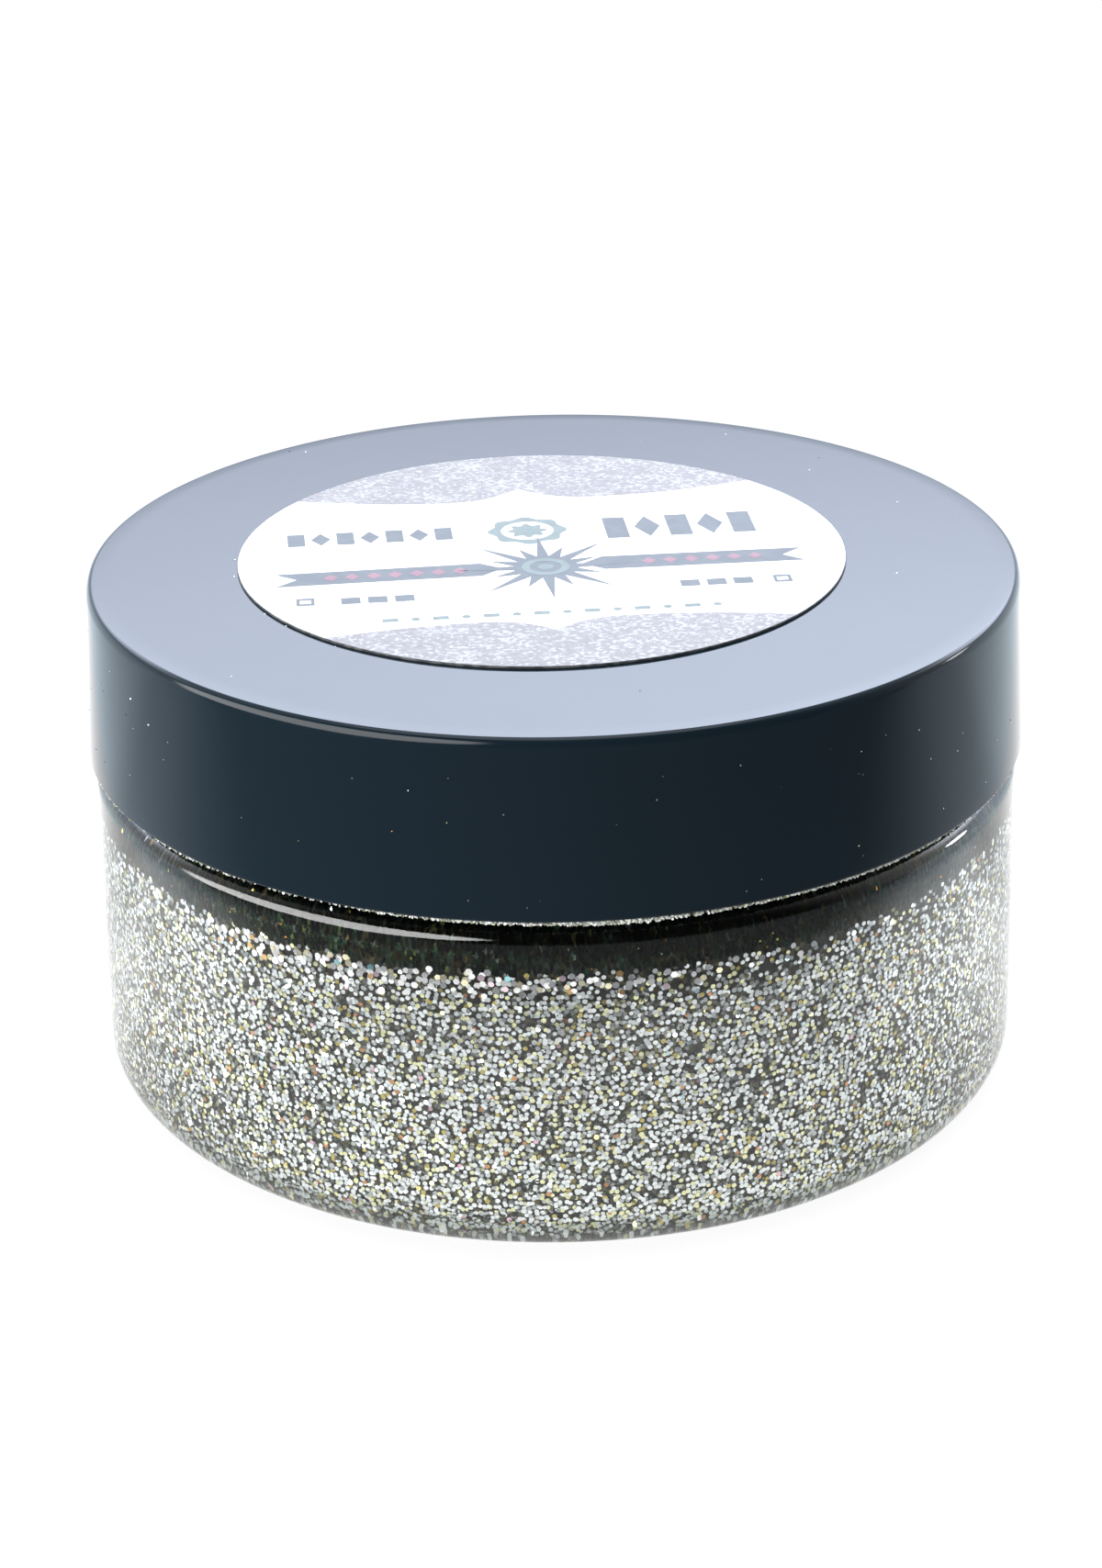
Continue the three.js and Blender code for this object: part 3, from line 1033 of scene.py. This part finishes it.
def printed(name, shapes, rise, material):
    """Thin printed shapes on the label; a shape is one outline, or a pair of outlines for a ring."""
    low = (LABEL_TOP - PRINT_ROOT) * MM
    high = (LABEL_TOP + rise) * MM
    verts = []
    faces = []
    for shape in shapes:
        loops = shape if isinstance(shape, tuple) else (shape,)
        starts = []
        for loop in loops:
            starts.append(len(verts))
            for level in (low, high):
                for a, b in loop:
                    x, y = on_label(a, b)
                    verts.append((x * MM, y * MM, level))
        for start, loop, inner in zip(starts, loops, (False, True)):
            n = len(loop)
            for k in range(n):
                m = (k + 1) % n
                side = (start + k, start + m, start + n + m, start + n + k)
                faces.append(side[::-1] if inner else side)
        n = len(loops[0])
        if len(loops) == 1:
            faces.append(tuple(starts[0] + n + k for k in range(n)))
            faces.append(tuple(starts[0] + k for k in reversed(range(n))))
            continue
        outer, inner = starts
        for k in range(n):
            m = (k + 1) % n
            faces.append((outer + n + k, outer + n + m, inner + n + m, inner + n + k))
            faces.append((outer + m, outer + k, inner + k, inner + m))
    return new_piece(name, verts, faces, "lid", [material], smooth=False)


def bar(a, b, width, height):
    """An upright rectangle round a centre."""
    w = width / 2
    h = height / 2
    return [(a - w, b - h), (a + w, b - h), (a + w, b + h), (a - w, b + h)]


def diamond(a, b, width, height):
    """A diamond round a centre."""
    return [(a - width / 2, b), (a, b - height / 2), (a + width / 2, b), (a, b + height / 2)]


def wavy(a, b, radius, wave=0.0, lobes=8, steps=96):
    """A circle, or a flower with the given number of lobes."""
    out = []
    for k in range(steps):
        angle = 2 * math.pi * k / steps
        reach = radius * (1 + wave * math.cos(lobes * angle))
        out.append((a + reach * math.cos(angle), b + reach * math.sin(angle)))
    return out


def starburst(a, b, long_ray, short_ray, hub, rays=8):
    """A star of long and short rays by turns."""
    out = []
    for k in range(4 * rays):
        angle = 2 * math.pi * k / (4 * rays)
        reach = (long_ray, hub, short_ray, hub)[k % 4]
        out.append((a + reach * math.cos(angle), b + reach * math.sin(angle)))
    return out


def ribbon(tail, point, b, height, slope):
    """A banner from a swallow tail to a blunt point."""
    way = 1 if point > tail else -1
    h = height / 2
    notch = tail + way * 0.07
    shoulder = point - way * 0.07
    corners = [(tail, -h), (shoulder, -h), (point, 0), (shoulder, h), (tail, h), (notch, 0)]
    out = [(a, b + offset + slope * (a - tail)) for a, offset in corners]
    return out if way > 0 else out[::-1]


def bracket(ends, dip, tip, dip_a=0.28, tip_a=-0.02, steps=14):
    """A bracket-shaped border from left to right: high ends, a dip on each side, a tip in the middle."""
    end_a, end_b = ends
    out = []
    for k in range(steps + 1):
        s = 1 - k / steps
        out.append((-dip_a - (end_a - dip_a) * s, dip + (end_b - dip) * s**1.8))
    for k in range(1, steps + 1):
        s = k / steps
        out.append((-dip_a + (tip_a + dip_a) * s, dip + (tip - dip) * s**2.4))
    mirrored = [(2 * tip_a - a if a > -dip_a else -a, b) for a, b in out[:-1]]
    return out + mirrored[::-1]


def zone(border, way):
    """A ring shape between a border on the label and the rim beyond it; way is 1 above and -1 below."""
    rim = []
    first = math.atan2(way * border[0][1], border[0][0])
    last = math.atan2(way * border[-1][1], border[-1][0])
    for k in range(len(border)):
        angle = first + (last - first) * k / (len(border) - 1)
        rim.append((ZONE_REACH * math.cos(angle), way * ZONE_REACH * math.sin(angle)))
    return rim


def printed_zones(name, borders, rise, material):
    """Thin printed slabs between each border and the label's rim."""
    verts = []
    faces = []
    for border, way in borders:
        rim = zone(border, way)
        near, far = (border, rim) if way > 0 else (rim, border)
        n = len(border)
        base = len(verts)
        for level in ((LABEL_TOP - PRINT_ROOT) * MM, (LABEL_TOP + rise) * MM):
            for line in (near, far):
                for a, b in line:
                    x, y = on_label(a, b)
                    verts.append((x * MM, y * MM, level))
        low_near, low_far, high_near, high_far = (base + n * k for k in range(4))
        for k in range(n - 1):
            m = k + 1
            faces.append((high_near + k, high_near + m, high_far + m, high_far + k))
            faces.append((low_near + m, low_near + k, low_far + k, low_far + m))
            faces.append((low_near + k, low_near + m, high_near + m, high_near + k))
            faces.append((low_far + m, low_far + k, high_far + k, high_far + m))
        m = n - 1
        faces.append((low_near + m, low_far + m, high_far + m, high_near + m))
        faces.append((low_far, low_near, high_near, high_far))
    return new_piece(name, verts, faces, "lid", [material], smooth=False)


def make_label():
    """The round paper label and its print: ornament in the places where such a label has words."""
    white = paper("label_white", (0.88, 0.88, 0.89), (0.80, 0.80, 0.82), 1500.0)
    slate = paper("label_slate", (0.060, 0.076, 0.086), (0.078, 0.096, 0.106), 900.0)
    mint = paper("label_mint", (0.105, 0.150, 0.138), (0.13, 0.18, 0.165), 900.0)
    pink = paper("label_pink", (0.21, 0.085, 0.115), (0.25, 0.11, 0.14), 900.0)
    outline = rounded(
        [
            (0, TOTAL_HEIGHT + LABEL_GLUE, 0),
            (LABEL_RADIUS, TOTAL_HEIGHT + LABEL_GLUE, 0.03),
            (LABEL_RADIUS, LABEL_TOP, 0.05),
            (0, LABEL_TOP, 0),
        ]
    )
    # The label's outer rim is painted dark: partly dirt on the cut paper edge, partly painted shade along
    # that edge.
    edge_dirt_and_shade = paper("label_cut_edge", (0.05, 0.055, 0.06), (0.13, 0.135, 0.14), 1800.0)
    verts, faces, _ = revolve(subdivided(outline, 1.5), ROUND_THIN)
    ring = (LABEL_RADIUS - EDGE_DIRT_AND_SHADE_WIDTH) * MM
    outer = [math.hypot(x, y) > ring for x, y, _ in verts]
    on_edge = np.array([all(outer[v] for v in face) for face in faces], int)
    verts = [(x + LABEL_OFFSET[0] * MM, y + LABEL_OFFSET[1] * MM, z) for x, y, z in verts]
    piece = new_piece("round_label", verts, faces, "lid", [white, edge_dirt_and_shade], indices=on_edge)
    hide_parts("lid_label")
    upper = bracket((0.78, 0.62), 0.525, 0.64)
    lower = bracket((0.735, -0.67), -0.605, -0.70, dip_a=0.25)
    printed_zones("label_glitter_zones", [(upper, 1), (lower, -1)], 0.005, glitter_paper())
    marks = [ribbon(-0.88, -0.14, -0.15, 0.115, 0.02), ribbon(0.85, 0.12, -0.135, 0.118, -0.01)]
    for k in range(7):
        a = -0.80 + 0.082 * k
        marks.append(bar(a, 0.222, 0.058, 0.115) if k % 2 == 0 else diamond(a, 0.222, 0.066, 0.115))
    for k in range(5):
        a = 0.27 + 0.106 * k
        marks.append(bar(a, 0.201, 0.075, 0.20) if k % 2 == 0 else diamond(a, 0.201, 0.088, 0.20))
    for k in range(3):
        marks.append(bar(-0.645 + 0.086 * k, -0.36, 0.062, 0.055))
        marks.append(bar(0.445 + 0.086 * k, -0.352, 0.062, 0.055))
    for a, b in ((-0.789, -0.353), (0.745, -0.351)):
        marks.append((bar(a, b, 0.058, 0.064), bar(a, b, 0.036, 0.030)))
    printed("label_slate_marks", marks, 0.008, slate)
    printed("label_emblem", [starburst(0.0, -0.14, 0.29, 0.19, 0.10)], 0.014, slate)
    rosette_a = -0.027
    rosette_b = 0.2135
    mint_marks = [
        (wavy(rosette_a, rosette_b, 0.125, 0.07), wavy(rosette_a, rosette_b, 0.088)),
        wavy(rosette_a, rosette_b, 0.058, 0.16),
    ]
    for k in range(14):
        a = -0.53 + 0.0796 * k
        mint_marks.append(bar(a, -0.549, 0.05, 0.028) if k % 2 == 0 else wavy(a, -0.549, 0.014, steps=20))
    printed("label_mint_marks", mint_marks, 0.008, mint)
    printed(
        "label_emblem_ring",
        [(wavy(0.0, -0.14, 0.078), wavy(0.0, -0.14, 0.052)), wavy(0.0, -0.14, 0.026, steps=32)],
        0.02,
        mint,
    )
    pink_marks = [diamond(-0.70 + 0.07 * k, -0.15 + 0.02 * (0.18 + 0.07 * k), 0.05, 0.06) for k in range(7)]
    pink_marks += [diamond(0.34 + 0.07 * k, -0.130, 0.05, 0.06) for k in range(6)]
    printed("label_pink_marks", pink_marks, 0.014, pink)


make_camera()
make_world()
make_floor()
make_jar(
    clear_pet("clear_pet_air", PET_IOR),
    clear_pet("clear_pet_gel", PET_ON_GEL_IOR),
    clear_pet("clear_pet_base", PET_IOR, 0.3, rgb(0.74, 0.81, 0.76)),
)
make_gel()
make_lid(lid_material())
make_residue()
make_liner()
make_label()
bpy.context.scene.view_settings.view_transform = "Standard"
